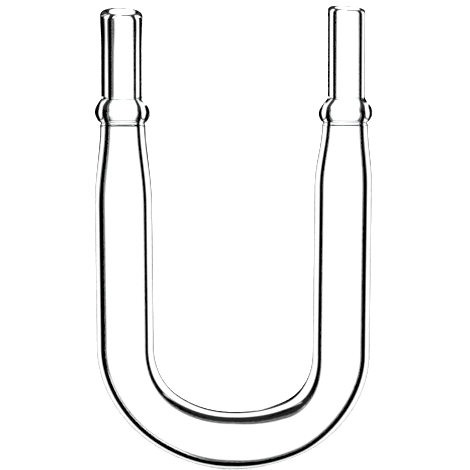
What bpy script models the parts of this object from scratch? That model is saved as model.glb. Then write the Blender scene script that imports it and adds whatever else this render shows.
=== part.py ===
"""U-bend airlock tube in clear borosilicate glass.

One wide tube is bent into a U and drawn in to a narrow neck at the top of each leg.
A thick ring of glass, the bead, is fused to each neck, and a narrow spigot for a hose
or a bored stopper is fused to each bead. The tube was bent and joined by hand, so the
two sides differ a little, and each side has its own values below.

Metres, +Z up. The legs stand along Z in the XZ plane, side by side along X. The origin
is the point under the lowest part of the bend, midway between the legs.
"""

import math
from collections import namedtuple

import bmesh
import bpy
from mathutils import Vector

FACETS = 32              # flats round every tube
SEAM_GAP = 0.0003        # clearance that stands for a fused joint

# The wide tube
TUBE_RADIUS = 0.0075
TUBE_BORE_RADIUS = 0.0053
HALF_SPAN = 0.0280       # from the middle of the U to a leg's axis, at the start of the bend
LEG_SPLAY = math.radians(0.53)
BEND_STEPS = 12          # rings from a leg to the lowest point

# How the tube changes where it was bent
OUTER_SQUEEZE = 0.05     # share of its width lost in each corner
BORE_SQUEEZE = 0.09
BORE_DRIFT = 0.0004      # the stretched outer wall gets thinner, so the bore moves outwards

# The necks
NECK_RADIUS = 0.00595
NECK_STEPS = 6

# The beads
BEAD_TOP = 0.0969
BEAD_SWELL = 0.00154     # how far the belly stands out
BEAD_STEPS = 10          # flats from foot to top
BORE_CLOSES_FROM = 0.45  # shares of the bead's height between which its bore draws in
BORE_CLOSES_TO = 0.90

# The spigots
LIP_ROUND = 0.0005       # fire-polished edge
LIP_STEPS = 3
FLARE_LENGTH = 0.0080

Side = namedtuple(
    "Side",
    "name sign corner_radius corner_turn corner_drift neck_length neck_top neck_bore top_shift"
    " spigot_radius rim_radius spigot_bore bore_shift rim_height",
)

LEFT = Side(
    name="left",
    sign=-1,
    corner_radius=0.0234,
    corner_turn=math.radians(55),
    corner_drift=0.0001,
    neck_length=0.0213,
    neck_top=0.0899,
    neck_bore=0.0038,
    top_shift=0.0002,
    spigot_radius=0.00527,
    rim_radius=0.00555,
    spigot_bore=0.0030,
    bore_shift=0.0002,
    rim_height=0.1193,
)

RIGHT = Side(
    name="right",
    sign=1,
    corner_radius=0.0215,
    corner_turn=math.radians(67),
    corner_drift=0.0005,
    neck_length=0.0193,
    neck_top=0.0903,
    neck_bore=0.0040,
    top_shift=0.0006,
    spigot_radius=0.00487,
    rim_radius=0.00490,
    spigot_bore=0.0031,
    bore_shift=0.0002,
    rim_height=0.1202,
)

# One turned or swept section: an ellipse round centre, half_width along across, half_depth along Y
Ring = namedtuple("Ring", "centre across half_width half_depth")

DEPTH = Vector((0, 1, 0))


def ease(share):
    """Smooth step from 0 to 1."""
    share = min(max(share, 0.0), 1.0)
    return 0.5 - 0.5 * math.cos(math.pi * share)


def clear_scene():
    for obj in list(bpy.data.objects):
        bpy.data.objects.remove(obj, do_unlink=True)


def glass(name, colour):
    material = bpy.data.materials.new(name)
    material.use_nodes = True
    shader = material.node_tree.nodes["Principled BSDF"]
    shader.inputs["Base Color"].default_value = colour
    shader.inputs["Metallic"].default_value = 0.0
    shader.inputs["Roughness"].default_value = 0.02
    shader.inputs["IOR"].default_value = 1.473
    shader.inputs["Transmission Weight"].default_value = 1.0
    return material


def ring_body(name, rings, material):
    """A closed body whose surface runs through the rings and back to the first one."""
    build = bmesh.new()
    loops = []
    for ring in rings:
        loop = []
        for step in range(FACETS):
            angle = 2 * math.pi * step / FACETS
            aside = ring.across * (ring.half_width * math.cos(angle))
            back = DEPTH * (ring.half_depth * math.sin(angle))
            loop.append(build.verts.new(ring.centre + aside + back))
        loops.append(loop)
    for index, loop in enumerate(loops):
        after = loops[(index + 1) % len(loops)]
        for step in range(FACETS):
            beside = (step + 1) % FACETS
            build.faces.new((loop[step], loop[beside], after[beside], after[step]))
    bmesh.ops.recalc_face_normals(build, faces=build.faces)
    mesh = bpy.data.meshes.new(name)
    build.to_mesh(mesh)
    build.free()
    mesh.materials.append(material)
    mesh.shade_smooth()
    mesh.set_sharp_from_angle(angle=math.radians(40))
    body = bpy.data.objects.new(name, mesh)
    bpy.context.collection.objects.link(body)
    return body


# The wide tube: two straight legs, two tighter corners and one wider arc between them


def bottom_radius(side):
    """Radius of the wider arc, which reaches from a corner to the middle of the U."""
    turn = side.corner_turn
    return (HALF_SPAN - side.corner_radius * (1 - math.cos(turn))) / math.cos(turn)


def bend_height(side):
    """Height at which the leg ends and the bend starts."""
    turn = side.corner_turn
    corner = side.corner_radius * math.sin(turn)
    return TUBE_RADIUS + corner + bottom_radius(side) * (1 - math.sin(turn))


def bend_point(side, turn):
    """Centre of the tube after it has turned this far from the leg, where 90 degrees is the bottom."""
    if turn <= side.corner_turn:
        x = HALF_SPAN - side.corner_radius * (1 - math.cos(turn))
        z = bend_height(side) - side.corner_radius * math.sin(turn)
    else:
        x = bottom_radius(side) * math.cos(turn)
        z = TUBE_RADIUS + bottom_radius(side) * (1 - math.sin(turn))
    return Vector((side.sign * x, 0, z))


def bend_sections(side):
    """Outer and bore rings from just below the leg down to the lowest point."""
    sections = []
    for step in range(1, BEND_STEPS + 1):
        turn = math.pi / 2 * step / BEND_STEPS
        outwards = Vector((side.sign * math.cos(turn), 0, -math.sin(turn)))
        centre = bend_point(side, turn)
        corner = math.sin(2 * turn) ** 2
        drift = BORE_DRIFT * math.sin(turn) + side.corner_drift * corner
        outer = Ring(centre, outwards, TUBE_RADIUS * (1 - OUTER_SQUEEZE * corner), TUBE_RADIUS)
        bore = Ring(
            centre + outwards * drift,
            outwards,
            TUBE_BORE_RADIUS * (1 - BORE_SQUEEZE * corner),
            TUBE_BORE_RADIUS,
        )
        sections.append((outer, bore))
    return sections


def axis_x(side, height):
    """Where the axis of the leg and its neck is at this height."""
    rise = height - bend_height(side)
    shift = side.top_shift * ease(1 - (side.neck_top - height) / side.neck_length)
    return side.sign * (HALF_SPAN + rise * math.tan(LEG_SPLAY) + shift)


def leg_sections(side):
    """Outer and bore rings from the top of the neck down to the start of the bend."""
    sections = []
    drops = [side.neck_length * step / NECK_STEPS for step in range(NECK_STEPS + 1)]
    drops.append(side.neck_top - bend_height(side))
    for drop in drops:
        height = side.neck_top - drop
        opening = ease(drop / side.neck_length)
        centre = Vector((axis_x(side, height), 0, height))
        across = Vector((side.sign, 0, 0))
        outer_radius = NECK_RADIUS + (TUBE_RADIUS - NECK_RADIUS) * opening
        bore_radius = side.neck_bore + (TUBE_BORE_RADIUS - side.neck_bore) * opening
        outer = Ring(centre, across, outer_radius, outer_radius)
        bore = Ring(centre, across, bore_radius, bore_radius)
        sections.append((outer, bore))
    return sections


def make_tube():
    left = leg_sections(LEFT) + bend_sections(LEFT)
    right = leg_sections(RIGHT) + bend_sections(RIGHT)
    along = left + right[-2::-1]
    outside = [outer for outer, bore in along]
    inside = [bore for outer, bore in along]
    ring_body("u_tube", outside + inside[::-1], glass("tube_glass", (0.96, 0.98, 0.98, 1)))


# The beads and spigots are turned on the spigot's own axis


def turned_ring(radius, height, shift=0.0):
    return Ring(Vector((shift, 0, height)), Vector((1, 0, 0)), radius, radius)


def top_axis(side):
    return axis_x(side, side.neck_top)


def make_bead(side):
    """Thick ring with a round belly. Its bore draws in from the neck's to the spigot's."""
    foot = SEAM_GAP
    top = BEAD_TOP - side.neck_top
    outside, inside = [], []
    for step in range(BEAD_STEPS + 1):
        share = step / BEAD_STEPS
        height = foot + (top - foot) * share
        base = NECK_RADIUS + (side.spigot_radius - NECK_RADIUS) * share
        belly = BEAD_SWELL * max(math.sin(math.pi * share), 0.0) ** 1.5
        outside.append(turned_ring(base + belly, height))
        closed = ease((share - BORE_CLOSES_FROM) / (BORE_CLOSES_TO - BORE_CLOSES_FROM))
        radius = side.neck_bore + (side.spigot_bore - side.neck_bore) * closed
        inside.append(turned_ring(radius, height, side.bore_shift * closed))
    material = glass(f"{side.name}_bead_glass", (0.93, 0.97, 0.98, 1))
    bead = ring_body(f"{side.name}_bead", outside + inside[::-1], material)
    bead.location = (top_axis(side), 0, side.neck_top)


def make_spigot(side):
    """Straight hose end with a slightly flared, fire-polished rim and a flat crest."""
    top = side.rim_height - BEAD_TOP
    foot = SEAM_GAP
    rings = [turned_ring(side.spigot_radius, foot)]
    rings.append(turned_ring(side.spigot_radius, top - FLARE_LENGTH))
    rings.append(turned_ring(side.rim_radius, top - LIP_ROUND))
    for step in range(1, LIP_STEPS + 1):
        angle = math.pi / 2 * step / LIP_STEPS
        radius = side.rim_radius - LIP_ROUND * (1 - math.cos(angle))
        rings.append(turned_ring(radius, top - LIP_ROUND * (1 - math.sin(angle))))
    for step in range(LIP_STEPS + 1):
        angle = math.pi / 2 * step / LIP_STEPS
        radius = side.spigot_bore + LIP_ROUND * (1 - math.sin(angle))
        height = top - LIP_ROUND * (1 - math.cos(angle))
        rings.append(turned_ring(radius, height, side.bore_shift))
    rings.append(turned_ring(side.spigot_bore, foot, side.bore_shift))
    material = glass(f"{side.name}_spigot_glass", (0.97, 0.98, 0.97, 1))
    spigot = ring_body(f"{side.name}_spigot", rings, material)
    spigot.location = (top_axis(side), 0, BEAD_TOP)


clear_scene()
make_tube()
for side in (LEFT, RIGHT):
    make_bead(side)
    make_spigot(side)
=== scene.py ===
"""Looks for the U-bend airlock tube: clear glass with fused beads and fire-polished spigots.

Five glass pieces stand for the five CAD nodes. The axes of the spigots and the heights of the
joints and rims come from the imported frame. Where two pieces are fused, both end on the same
ring of points and neither has an end face, so that light passes the joint as it does in one
piece of glass.
"""

import math
from collections import namedtuple

import bpy
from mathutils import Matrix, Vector


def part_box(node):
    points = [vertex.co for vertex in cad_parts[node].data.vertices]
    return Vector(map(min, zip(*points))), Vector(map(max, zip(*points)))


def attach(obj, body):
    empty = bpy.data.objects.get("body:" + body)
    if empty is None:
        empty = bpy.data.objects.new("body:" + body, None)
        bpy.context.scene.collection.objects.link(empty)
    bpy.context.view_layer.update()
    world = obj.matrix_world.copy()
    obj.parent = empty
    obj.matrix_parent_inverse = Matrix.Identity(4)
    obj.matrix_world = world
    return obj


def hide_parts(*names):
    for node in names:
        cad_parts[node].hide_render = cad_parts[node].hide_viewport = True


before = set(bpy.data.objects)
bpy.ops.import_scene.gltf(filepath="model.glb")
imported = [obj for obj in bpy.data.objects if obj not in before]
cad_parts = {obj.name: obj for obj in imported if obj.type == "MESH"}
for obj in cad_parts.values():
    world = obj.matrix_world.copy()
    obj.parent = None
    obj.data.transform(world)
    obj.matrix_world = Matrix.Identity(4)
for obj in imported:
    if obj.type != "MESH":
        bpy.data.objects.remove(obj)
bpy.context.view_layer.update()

MM = 0.001
AROUND = 128             # points round every tube

# The wide tube, as in the CAD model. Every bore in this file is given by its radius.
TUBE_RADIUS = 7.5 * MM
TUBE_BORE = 5.3 * MM
HALF_SPAN = 28.0 * MM    # from the middle to a leg's axis, where the bend starts
LEG_SPLAY = math.radians(0.53)
OUTER_SQUEEZE = 0.05     # share of its width that the tube loses in the corners
BORE_DRIFT = 0.35 * MM   # how far the bore moves outwards at the lowest point
BEND_STEPS = 72
LEG_STEPS = 12

# The necks
NECK_RADIUS = 5.95 * MM
NECK_STEPS = 40
SEAM_GAP = 0.3 * MM      # between the neck and the bead in the CAD model, closed here

# The joint of neck and bead, where the bore is pinched and a groove runs round the outside
PINCH = 0.2 * MM
PINCH_REACH = 0.6 * MM
GROOVE = 0.25 * MM
GROOVE_REACH = 0.3 * MM
JOINT_TILT_REACH = 6.0 * MM

# The beads: a round belly, and a bore that bulges and then draws in to the spigot's
BEAD_SWELL = 1.52 * MM
BELLY_POWER = 1.15       # above 1, the belly rises more slowly from the joint
BELLY_SKEW = 0.88        # below 1, the widest place is nearer the foot
BEAD_STEPS = 56
BEAD_SPACING = 1.5       # above 1, the rings are closer together near the joint
BORE_CLOSES_FROM = 0.45  # share of the bead's height

# The spigots
LIP_STEPS = 14           # in a quarter turn of the round lip
FLARE_LENGTH = 10 * MM
SPIGOT_STEPS = 16

# The two sides, which differ because the real object is made by hand
SIDE_FIELDS = (
    "name sign corner_radius corner_turn corner_drift corner_squeeze",
    "neck_length neck_shift neck_bore bore_swell",
    "spigot_radius rim_radius spigot_bore bore_shift joint_tilt rim_tilt_x rim_tilt_y",
    "axis neck_top bead_top rim",
)
Side = namedtuple("Side", " ".join(SIDE_FIELDS))
Ring = namedtuple("Ring", "centre across half_width half_depth tilt_x tilt_y")
DEPTH = Vector((0, 1, 0))


def make_side(name, joint_rise, **shape):
    """A side's shape, with its spigot's axis and its heights read from the frame.

    The joint of neck and bead is raised by joint_rise above the CAD neck's top.
    """
    spigot_low, spigot_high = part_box(f"{name}_spigot")
    bead_low, bead_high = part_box(f"{name}_bead")
    return Side(
        name=name,
        axis=(spigot_low.x + spigot_high.x) / 2,
        neck_top=bead_low.z - SEAM_GAP + joint_rise,
        bead_top=bead_high.z,
        rim=spigot_high.z,
        **shape,
    )


LEFT = make_side(
    "left",
    joint_rise=0.5 * MM,
    sign=-1,
    corner_radius=23.4 * MM,
    corner_turn=math.radians(55),
    corner_drift=0.1 * MM,
    corner_squeeze=0.09,
    neck_length=21.3 * MM,
    neck_shift=-0.1 * MM,
    neck_bore=3.75 * MM,
    bore_swell=0.38 * MM,
    spigot_radius=5.30 * MM,
    rim_radius=5.57 * MM,
    spigot_bore=2.93 * MM,
    bore_shift=0.2 * MM,
    joint_tilt=math.radians(-7.5),
    rim_tilt_x=math.radians(-2.5),
    rim_tilt_y=math.radians(8.0),
)
RIGHT = make_side(
    "right",
    joint_rise=0.25 * MM,
    sign=1,
    corner_radius=21.5 * MM,
    corner_turn=math.radians(67),
    corner_drift=0.6 * MM,
    corner_squeeze=0.135,
    neck_length=16.5 * MM,
    neck_shift=0.3 * MM,
    neck_bore=4.00 * MM,
    bore_swell=0.20 * MM,
    spigot_radius=4.87 * MM,
    rim_radius=4.90 * MM,
    spigot_bore=3.10 * MM,
    bore_shift=0.2 * MM,
    joint_tilt=math.radians(-6.0),
    rim_tilt_x=math.radians(-4.4),
    rim_tilt_y=math.radians(3.0),
)

# The glass of each kind of piece: its lines are counted round the tube and along a metre of it
GLASS_IOR = 1.473        # borosilicate
LINE_DETAIL = 3.0
CLEAR = (1.0, 1.0, 1.0, 1)
Glass = namedtuple("Glass", "slot name lines_around lines_along ripple tint")
GLASSES = {
    "tube": Glass(
        slot="tube_glass",
        name="drawn_tube",
        lines_around=3.0,
        lines_along=20,
        ripple=0.006 * MM,
        tint=(0.975, 0.985, 0.985, 1),
    ),
    "bead": Glass(
        slot="bead_glass",
        name="flame_worked_bead",
        lines_around=1.5,
        lines_along=600,
        ripple=0.006 * MM,
        tint=(0.95, 0.965, 0.965, 1),
    ),
    "spigot": Glass(
        slot="spigot_glass",
        name="drawn_spigot",
        lines_around=2.5,
        lines_along=40,
        ripple=0.005 * MM,
        tint=(0.97, 0.98, 0.98, 1),
    ),
}

# The soft box behind the object
PANEL_BACK = 0.35
PANEL_X = 0.02
PANEL_Z = -0.035
PANEL_HALF_WIDTH = 0.275
PANEL_HALF_HEIGHT = 0.184
PANEL_ROUNDING = 3.0     # 2 is an ellipse, and a larger number is squarer
PANEL_FULL = 0.4         # the light falls off between here and the edge, at 1
PANEL_LIGHT = 1.35

# The windows, in degrees: azimuth from +X through +Y, and elevation from level
WINDOW_LIGHT = 1.9
WINDOW_SOFT = 3          # the light falls off over this angle inside each edge
Window = namedtuple("Window", "left right low high strength unreflected_only")
WINDOWS = (
    Window(51, 125, -8, 21.5, PANEL_LIGHT, False),     # behind, carries the soft box on upwards
    Window(160, 222, -30, 28, WINDOW_LIGHT, True),     # left of the object
    Window(272, 358, -45, 18, WINDOW_LIGHT, True),     # in front of it and to the right
    Window(272, 358, -45, -9, WINDOW_LIGHT, False),    # the same, low, for reflected rays too
    Window(100, 170, -60, -16, WINDOW_LIGHT, True),    # behind, low on the left
    Window(-180, 180, -91, -68, WINDOW_LIGHT, True),   # straight down
)

# The rest of the studio
CEILING_FROM = math.radians(20)
CEILING_FULL = math.radians(35)
CEILING_LIGHT = 0.4
ROOM_LIGHT = 1.5
FLOOR_LIGHT = 3.5
FLOOR_HALF_WIDTH = 3.0
FLOOR_COLOUR = (0.9, 0.9, 0.9, 1)
SQUARE = ((-1, -1), (1, -1), (1, 1), (-1, 1))
LIGHT_BOUNCES = 32

# The camera, which looks down at the object by its elevation
CAMERA_DISTANCE = 1.2
CAMERA_ELEVATION = math.radians(7.5)
CAMERA_TARGET = Vector((0.00047, 0, 0.06134))
CAMERA_NEAREST = 0.01
SEEN_WIDTH = 0.1215      # how much the picture holds from side to side at the object


# --- Shapes ---------------------------------------------------------------------------------


def ease(share):
    """Smooth step from 0 to 1."""
    share = min(max(share, 0.0), 1.0)
    return 0.5 - 0.5 * math.cos(math.pi * share)


def mix(start, end, share):
    return start + (end - start) * share


def skin(name, runs):
    """A surface of open runs of rings. Its points know their angle and length along the tube."""
    points, faces, places = [], [], []
    for rings in runs:
        length = 0.0
        for index, ring in enumerate(rings):
            if index:
                length += (ring.centre - rings[index - 1].centre).length
            first = len(points)
            for step in range(AROUND):
                angle = 2 * math.pi * step / AROUND
                aside = ring.across * (ring.half_width * math.cos(angle))
                back = DEPTH * (ring.half_depth * math.sin(angle))
                point = ring.centre + aside + back
                point.z += aside.x * math.tan(ring.tilt_x) + back.y * math.tan(ring.tilt_y)
                points.append(point)
                places.append((math.cos(angle), math.sin(angle), length))
                beside = (step + 1) % AROUND
                if index:
                    before = first - AROUND
                    faces.append((before + step, before + beside, first + beside, first + step))
    mesh = bpy.data.meshes.new(name)
    mesh.from_pydata(points, [], faces)
    along = mesh.attributes.new("along", "FLOAT_VECTOR", "POINT")
    for item, place in zip(along.data, places):
        item.vector = place
    mesh.shade_smooth()
    piece = bpy.data.objects.new(name, mesh)
    bpy.context.scene.collection.objects.link(piece)
    return piece


def level_ring(x, z, radius, tilt_x=0.0, tilt_y=0.0):
    return Ring(Vector((x, 0, z)), Vector((1, 0, 0)), radius, radius, tilt_x, tilt_y)


def bottom_radius(side):
    """The radius of the wide arc between the side's tighter corner and the lowest point."""
    turn = side.corner_turn
    return (HALF_SPAN - side.corner_radius * (1 - math.cos(turn))) / math.cos(turn)


def bend_height(side):
    """The height at which the bend starts."""
    turn = side.corner_turn
    corner = side.corner_radius * math.sin(turn)
    return TUBE_RADIUS + corner + bottom_radius(side) * (1 - math.sin(turn))


def bend_point(side, turn):
    """The bend's axis after this turn, from 0 at the leg to a right angle at the lowest point."""
    if turn <= side.corner_turn:
        x = HALF_SPAN - side.corner_radius * (1 - math.cos(turn))
        z = bend_height(side) - side.corner_radius * math.sin(turn)
    else:
        x = bottom_radius(side) * math.cos(turn)
        z = TUBE_RADIUS + bottom_radius(side) * (1 - math.sin(turn))
    return Vector((side.sign * x, 0, z))


def bend_rings(side):
    """Outer and bore rings from the leg to the lowest point."""
    outer, bore = [], []
    for step in range(1, BEND_STEPS + 1):
        turn = math.pi / 2 * step / BEND_STEPS
        outwards = Vector((side.sign * math.cos(turn), 0, -math.sin(turn)))
        centre = bend_point(side, turn)
        corner = math.sin(2 * turn) ** 2
        width = TUBE_RADIUS * (1 - OUTER_SQUEEZE * corner)
        outer.append(Ring(centre, outwards, width, TUBE_RADIUS, 0, 0))
        drift = BORE_DRIFT * math.sin(turn)
        drift += side.corner_drift * math.sin(2 * turn) * math.sin(turn) ** 2
        width = TUBE_BORE * (1 - side.corner_squeeze * corner)
        bore.append(Ring(centre + outwards * drift, outwards, width, TUBE_BORE, 0, 0))
    return outer, bore


def leg_axis(side, height):
    """Where the axis of the leg and its neck is at this height."""
    rise = height - bend_height(side)
    shift = side.neck_shift * ease(1 - (side.neck_top - height) / side.neck_length)
    return side.sign * (HALF_SPAN + rise * math.tan(LEG_SPLAY) + shift)


def fade(distance, reach):
    """1 at the joint of neck and bead, falling off to nearly 0 at twice the reach."""
    return math.exp(-((distance / reach) ** 2))


def leg_rings(side):
    """Outer and bore rings from the top of the neck to the start of the bend."""
    drops = [side.neck_length * (step / NECK_STEPS) ** 2 for step in range(NECK_STEPS)]
    leg = side.neck_top - bend_height(side)
    drops += [mix(side.neck_length, leg, step / LEG_STEPS) for step in range(LEG_STEPS + 1)]
    outer, bore = [], []
    for drop in drops:
        opening = ease(drop / side.neck_length)
        height = side.neck_top - drop
        centre = Vector((leg_axis(side, height), 0, height))
        across = Vector((side.sign, 0, 0))
        tilt = side.joint_tilt * fade(drop, JOINT_TILT_REACH)
        radius = mix(NECK_RADIUS, TUBE_RADIUS, opening) - GROOVE * fade(drop, GROOVE_REACH)
        outer.append(Ring(centre, across, radius, radius, 0, tilt))
        radius = mix(side.neck_bore, TUBE_BORE, opening) - PINCH * fade(drop, PINCH_REACH)
        bore.append(Ring(centre, across, radius, radius, 0, tilt))
    return outer, bore


def make_tube():
    """From the left neck down its leg, round the bend and up to the right neck."""
    runs = []
    left_legs, right_legs = leg_rings(LEFT), leg_rings(RIGHT)
    left_bends, right_bends = bend_rings(LEFT), bend_rings(RIGHT)
    for surface in (0, 1):
        left = left_legs[surface] + left_bends[surface]
        right = right_legs[surface] + right_bends[surface]
        runs.append(left + right[-2::-1])
    outside, inside = runs
    return skin("glass_u_tube", [outside, inside[::-1]])


def make_bead(side):
    """From the neck's axis and bore at the foot to the spigot's at the top."""
    outer, bore = [], []
    for step in range(BEAD_STEPS + 1):
        share = (step / BEAD_STEPS) ** BEAD_SPACING
        rise = (side.bead_top - side.neck_top) * share
        height = side.neck_top + rise
        axis = mix(leg_axis(side, side.neck_top), side.axis, ease(share))
        tilt = side.joint_tilt * (1 - ease(share))
        belly = math.sin(math.pi * share**BELLY_SKEW)
        radius = mix(NECK_RADIUS, side.spigot_radius, share) + BEAD_SWELL * belly**BELLY_POWER
        radius -= GROOVE * fade(rise, GROOVE_REACH)
        outer.append(level_ring(axis, height, radius, tilt_y=tilt))
        closed = ease((share - BORE_CLOSES_FROM) / (1 - BORE_CLOSES_FROM))
        radius = mix(side.neck_bore, side.spigot_bore, closed) + side.bore_swell * belly
        radius -= PINCH * fade(rise, PINCH_REACH) * (1 - closed)
        bore.append(level_ring(axis + side.bore_shift * closed, height, radius, tilt_y=tilt))
    return skin(f"glass_{side.name}_bead", [outer, bore[::-1]])


def rim_share(side, height):
    """How far the rim's flare and tilt have come in at this height, from 0 to 1."""
    return ease((height - (side.rim - FLARE_LENGTH)) / FLARE_LENGTH)


def make_spigot(side):
    """From the foot up the outside, over the round lip and down the bore to the foot."""
    lip = (side.rim_radius - side.spigot_bore) / 2
    rings = []
    for step in range(SPIGOT_STEPS + 1):
        height = mix(side.bead_top, side.rim - lip, step / SPIGOT_STEPS)
        radius = mix(side.spigot_radius, side.rim_radius, rim_share(side, height))
        rings.append(level_ring(side.axis, height, radius))
    for step in range(1, 2 * LIP_STEPS):
        angle = math.pi * step / (2 * LIP_STEPS)
        share = (1 - math.cos(angle)) / 2
        radius = mix(side.rim_radius, side.spigot_bore, share)
        height = side.rim - lip + lip * math.sin(angle)
        rings.append(level_ring(side.axis + side.bore_shift * share, height, radius))
    for step in range(SPIGOT_STEPS + 1):
        height = mix(side.rim - lip, side.bead_top, step / SPIGOT_STEPS)
        rings.append(level_ring(side.axis + side.bore_shift, height, side.spigot_bore))
    tilted = []
    for ring in rings:
        share = rim_share(side, ring.centre.z)
        tilt_x = side.rim_tilt_x * share
        tilt_y = side.rim_tilt_y * share
        tilted.append(ring._replace(tilt_x=tilt_x, tilt_y=tilt_y))
    return skin(f"glass_{side.name}_spigot", [tilted])


# --- Glass ----------------------------------------------------------------------------------


def glass_material(glass):
    """Clear glass with faint draw lines: a ripple of the surface and a slight change of tint.

    The pattern follows the tube: the first two parts of the "along" attribute go round it and
    the third is the distance along it in metres.
    """
    material = bpy.data.materials.new(glass.name)
    material.use_nodes = True
    nodes, links = material.node_tree.nodes, material.node_tree.links
    shader = nodes["Principled BSDF"]
    shader.inputs["Roughness"].default_value = 0.0
    shader.inputs["IOR"].default_value = GLASS_IOR
    shader.inputs["Transmission Weight"].default_value = 1.0

    along = nodes.new("ShaderNodeAttribute")
    along.attribute_name = "along"
    stretch = nodes.new("ShaderNodeVectorMath")
    stretch.operation = "MULTIPLY"
    stretch.inputs[1].default_value = (glass.lines_around, glass.lines_around, glass.lines_along)
    links.new(along.outputs["Vector"], stretch.inputs[0])
    lines = nodes.new("ShaderNodeTexNoise")
    lines.inputs["Scale"].default_value = 1.0
    lines.inputs["Detail"].default_value = LINE_DETAIL
    links.new(stretch.outputs[0], lines.inputs["Vector"])

    bump = nodes.new("ShaderNodeBump")
    bump.inputs["Distance"].default_value = glass.ripple
    links.new(lines.outputs["Fac"], bump.inputs["Height"])
    links.new(bump.outputs["Normal"], shader.inputs["Normal"])

    colours = nodes.new("ShaderNodeMix")
    colours.data_type = "RGBA"
    colours.inputs["A"].default_value = CLEAR
    colours.inputs["B"].default_value = glass.tint
    links.new(lines.outputs["Fac"], colours.inputs["Factor"])
    links.new(colours.outputs["Result"], shader.inputs["Base Color"])
    return material


# --- Studio ---------------------------------------------------------------------------------


class Maths:
    """Short ways to add maths to a node tree. Terms are sockets or numbers."""

    def __init__(self, tree):
        self.nodes, self.links = tree.nodes, tree.links

    def value(self, operation, *terms):
        node = self.nodes.new("ShaderNodeMath")
        node.operation = operation
        for socket, term in zip(node.inputs, terms):
            if isinstance(term, (int, float)):
                socket.default_value = term
            else:
                self.links.new(term, socket)
        return node.outputs[0]

    def product(self, first, *others):
        for other in others:
            first = self.value("MULTIPLY", first, other)
        return first

    def largest(self, first, *others):
        for other in others:
            first = self.value("MAXIMUM", first, other)
        return first

    def rise(self, term, start, end):
        """A smooth step: 0 before the start and 1 after the end."""
        node = self.nodes.new("ShaderNodeMapRange")
        node.interpolation_type = "SMOOTHSTEP"
        self.links.new(term, node.inputs["Value"])
        node.inputs["From Min"].default_value = start
        node.inputs["From Max"].default_value = end
        return node.outputs["Result"]

    def fall(self, term, start, end):
        """A smooth step: 1 before the start and 0 after the end."""
        return self.value("SUBTRACT", 1.0, self.rise(term, start, end))

    def at_least(self, depth, count):
        """1 where the ray has had this many bounces of the kind that depth counts, or more."""
        return self.value("GREATER_THAN", depth, count - 0.5)

    def at_most(self, depth, count):
        """1 where the ray has had this many bounces of the kind that depth counts, or fewer."""
        return self.value("LESS_THAN", depth, count + 0.5)


def through_glass(maths, path):
    """1 for rays that have passed through glass and been reflected once at most."""
    entered = maths.at_least(path["Transmission Depth"], 1)
    return maths.product(entered, maths.at_most(path["Glossy Depth"], 1))


def window_light(maths, window, azimuth, elevation, path):
    """The brightness of a window: its strength inside, falling off to 0 at its edges."""
    left, right, low, high = (math.radians(edge) for edge in window[:4])
    soft = math.radians(WINDOW_SOFT)
    half = (right - left) / 2
    turned = maths.value("SUBTRACT", azimuth, (left + right) / 2)
    aside = maths.value("ABSOLUTE", maths.value("WRAP", turned, math.pi, -math.pi))
    across = maths.fall(aside, half - soft, half)
    above = maths.rise(elevation, low, low + soft)
    below = maths.fall(elevation, high - soft, high)
    light = maths.product(window.strength, across, above, below)
    if window.unreflected_only:
        light = maths.product(light, maths.at_most(path["Glossy Depth"], 0))
    return light


def make_world():
    """A studio whose light depends on how a ray has come.

    Seen directly it is a white room. Through the glass it is dark with bright windows, which
    gives the glass its dark outlines. Reflections off the outside of the glass show only a dim
    ceiling. The floor is lit evenly from all round.
    """
    world = bpy.data.worlds.new("studio")
    world.use_nodes = True
    bpy.context.scene.world = world
    tree = world.node_tree
    maths = Maths(tree)
    direction = tree.nodes.new("ShaderNodeTexCoord").outputs["Generated"]
    split = tree.nodes.new("ShaderNodeSeparateXYZ")
    tree.links.new(direction, split.inputs[0])
    x, y, z = split.outputs
    azimuth = maths.value("ARCTAN2", y, x)
    elevation = maths.value("ARCSINE", z)
    path = tree.nodes.new("ShaderNodeLightPath").outputs

    windows = [window_light(maths, window, azimuth, elevation, path) for window in WINDOWS]
    seen_through = maths.product(maths.largest(*windows), through_glass(maths, path))
    reflected = maths.at_least(path["Glossy Depth"], 1)
    off_outside = maths.product(reflected, maths.at_most(path["Transmission Depth"], 0))
    overhead = maths.rise(elevation, CEILING_FROM, CEILING_FULL)
    ceiling = maths.product(CEILING_LIGHT, overhead, off_outside)
    room = maths.product(ROOM_LIGHT, path["Is Camera Ray"])
    on_floor = maths.product(FLOOR_LIGHT, maths.at_least(path["Diffuse Depth"], 1))

    background = tree.nodes["Background"]
    light = maths.largest(seen_through, ceiling, room, on_floor)
    tree.links.new(light, background.inputs["Strength"])
    background.inputs["Color"].default_value = (1, 1, 1, 1)


def flat_sheet(name, corners, material):
    mesh = bpy.data.meshes.new(name)
    mesh.from_pydata(corners, [], [(0, 1, 2, 3)])
    mesh.materials.append(material)
    sheet = bpy.data.objects.new(name, mesh)
    bpy.context.scene.collection.objects.link(sheet)
    return sheet


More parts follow.
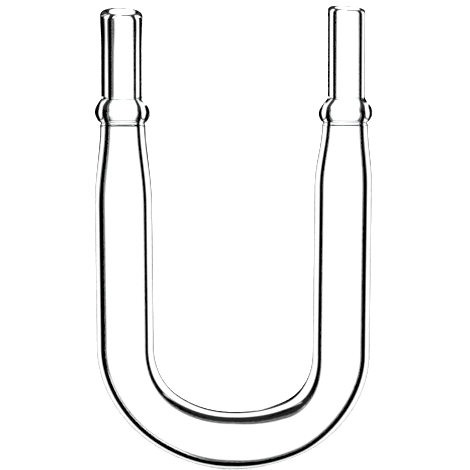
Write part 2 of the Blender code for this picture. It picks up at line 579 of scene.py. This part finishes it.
def panel_material():
    """White light that falls off towards the rounded edge of the panel."""
    material = bpy.data.materials.new("soft_box")
    material.use_nodes = True
    tree = material.node_tree
    tree.nodes.remove(tree.nodes["Principled BSDF"])
    maths = Maths(tree)
    split = tree.nodes.new("ShaderNodeSeparateXYZ")
    tree.links.new(tree.nodes.new("ShaderNodeNewGeometry").outputs["Position"], split.inputs[0])
    x, _, z = split.outputs
    reach = 0.0
    for place, middle, half in ((x, PANEL_X, PANEL_HALF_WIDTH), (z, PANEL_Z, PANEL_HALF_HEIGHT)):
        aside = maths.value("ABSOLUTE", maths.value("SUBTRACT", place, middle))
        share = maths.value("DIVIDE", aside, half)
        reach = maths.value("ADD", reach, maths.value("POWER", share, PANEL_ROUNDING))
    path = tree.nodes.new("ShaderNodeLightPath").outputs
    full = maths.fall(reach, PANEL_FULL, 1.0)
    light = maths.product(PANEL_LIGHT, full, through_glass(maths, path))
    emission = tree.nodes.new("ShaderNodeEmission")
    tree.links.new(light, emission.inputs["Strength"])
    tree.links.new(emission.outputs[0], tree.nodes["Material Output"].inputs["Surface"])
    return material


def make_panel():
    """A soft box behind the object. It lights the glass and is not seen directly."""
    corners = [
        (PANEL_X + right * PANEL_HALF_WIDTH, PANEL_BACK, PANEL_Z + up * PANEL_HALF_HEIGHT)
        for right, up in SQUARE
    ]
    panel = flat_sheet("panel", corners, panel_material())
    panel.visible_camera = False
    panel.visible_diffuse = False
    panel.visible_shadow = False


def make_floor():
    """A pale floor, which doesn't show in the glass."""
    material = bpy.data.materials.new("pale_floor")
    material.use_nodes = True
    material.node_tree.nodes["Principled BSDF"].inputs["Base Color"].default_value = FLOOR_COLOUR
    corners = [(right * FLOOR_HALF_WIDTH, back * FLOOR_HALF_WIDTH, 0) for right, back in SQUARE]
    floor = flat_sheet("floor", corners, material)
    floor.visible_transmission = False
    floor.visible_glossy = False


def make_camera():
    camera = bpy.data.cameras.new("camera")
    camera.lens = camera.sensor_width * CAMERA_DISTANCE / SEEN_WIDTH
    camera.clip_start = CAMERA_NEAREST
    eye = bpy.data.objects.new("camera", camera)
    bpy.context.scene.collection.objects.link(eye)
    backwards = Vector((0, -math.cos(CAMERA_ELEVATION), math.sin(CAMERA_ELEVATION)))
    eye.location = CAMERA_TARGET + backwards * CAMERA_DISTANCE
    eye.rotation_euler = (math.pi / 2 - CAMERA_ELEVATION, 0, 0)
    bpy.context.scene.camera = eye


# --- Assembly -------------------------------------------------------------------------------

make_camera()
pieces = {"u_tube": make_tube()}
for side in (LEFT, RIGHT):
    pieces[f"{side.name}_bead"] = make_bead(side)
    pieces[f"{side.name}_spigot"] = make_spigot(side)
materials = {kind: glass_material(glass) for kind, glass in GLASSES.items()}
for node, piece in pieces.items():
    kind = node.split("_")[-1]
    piece.data.materials.append(materials[kind])
    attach(piece, "root")
    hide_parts(node)

make_world()
make_panel()
make_floor()
scene = bpy.context.scene
scene.view_settings.view_transform = "Standard"
scene.cycles.max_bounces = LIGHT_BOUNCES
scene.cycles.transmission_bounces = LIGHT_BOUNCES
scene.cycles.glossy_bounces = LIGHT_BOUNCES
